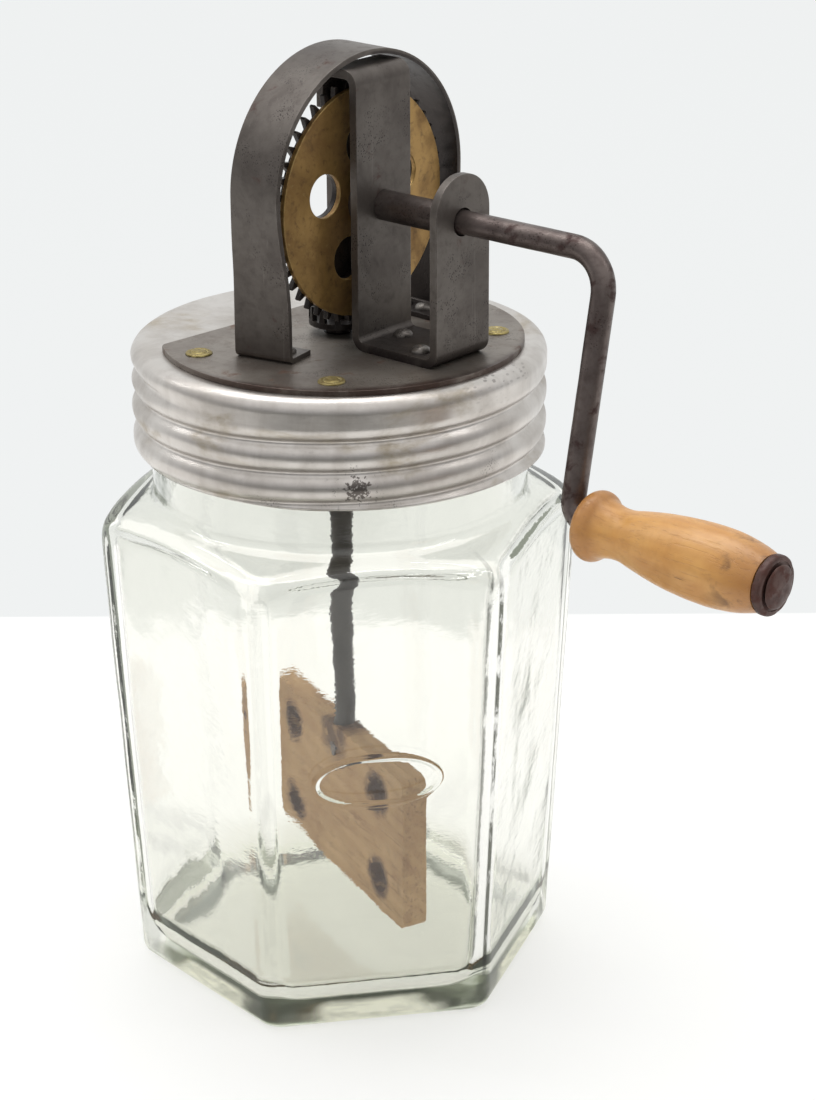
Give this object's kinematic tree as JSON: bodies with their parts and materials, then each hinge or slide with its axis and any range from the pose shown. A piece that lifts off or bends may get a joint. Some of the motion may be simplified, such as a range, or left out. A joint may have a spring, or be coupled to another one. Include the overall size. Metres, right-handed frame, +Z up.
{
  "type": "glass butter churn",
  "caption": "Hand-cranked glass butter churn: six-sided jar, screw lid with geared crank, turning wooden paddle inside and a turned wooden grip.",
  "frame": {"origin": "centre of the jar's underside, on the axis of the jar and lid", "axes": "+Z up, +X along the crank's axle towards the crank, +Y to the left of someone looking along +X"},
  "size_m": [0.2447, 0.1384, 0.2903],
  "materials": {
    "clear_glass": "clear pressed glass, faint green tint",
    "seal_rubber": "matt",
    "worn_aluminium": "worn, dented and stained",
    "dark_steel": "worn, dark, lightly rusted",
    "old_brass": "tarnished",
    "crank_steel": "dark with rust mottling",
    "rusty_steel": "dark rusty",
    "tinned_steel": "dull grey",
    "grip_wood": "honey-coloured, turned",
    "paddle_wood": "bare, worn"
  },
  "bodies": {
    "jar": {"glass_jar": "clear_glass"},
    "seal": {"lid_seal": "seal_rubber"},
    "lid": {"screw_cap": "worn_aluminium", "base_plate": "dark_steel", "plate_rivet_1": "old_brass", "plate_rivet_2": "old_brass", "plate_rivet_3": "old_brass", "plate_rivet_4": "old_brass", "arch_guard": "dark_steel", "arch_rivet_1": "tinned_steel", "arch_rivet_2": "tinned_steel", "arch_rivet_3": "tinned_steel", "arch_rivet_4": "tinned_steel", "gear_bracket": "dark_steel", "bracket_rivet_1": "tinned_steel", "bracket_rivet_2": "tinned_steel", "axle_sleeve": "dark_steel", "shaft_bush": "tinned_steel"},
    "crank": {"crank_rod": "crank_steel", "gear_disc": "old_brass", "toothed_wheel": "dark_steel", "wheel_hub": "old_brass", "hub_pin": "dark_steel", "spindle_head": "rusty_steel"},
    "grip": {"wooden_grip": "grip_wood", "grip_ferrule": "rusty_steel"},
    "dasher": {"pinion": "dark_steel", "dasher_shaft": "tinned_steel", "shaft_collar": "tinned_steel", "dasher_paddle": "paddle_wood", "paddle_pin": "tinned_steel"}
  },
  "joints": [
    {"name": "lid_lift", "type": "slide", "parent": "jar", "child": "seal", "axis": [0, 0, 1], "range_m": [0, 0.19]},
    {"name": "lid_unscrew", "type": "hinge", "parent": "seal", "child": "lid", "pos_m": [0, 0, 0.2015], "axis": [0, 0, 1], "range_deg": [0, 450]},
    {"name": "crank_turn", "type": "hinge", "parent": "lid", "child": "crank", "pos_m": [0, 0, 0.2456], "axis": [1, 0, 0], "continuous": true},
    {"name": "grip_spin", "type": "hinge", "parent": "crank", "child": "grip", "pos_m": [0.10631, -0.01496, 0.17302], "axis": [0.9994, -0.007, -0.0342], "continuous": true},
    {"name": "dasher_spin", "type": "hinge", "parent": "lid", "child": "dasher", "pos_m": [0, 0, 0.2], "axis": [0, 0, 1], "continuous": true}
  ],
  "couplings": [
    {"joint": "dasher_spin", "follows": "crank_turn", "ratio": 4.1818}
  ]
}
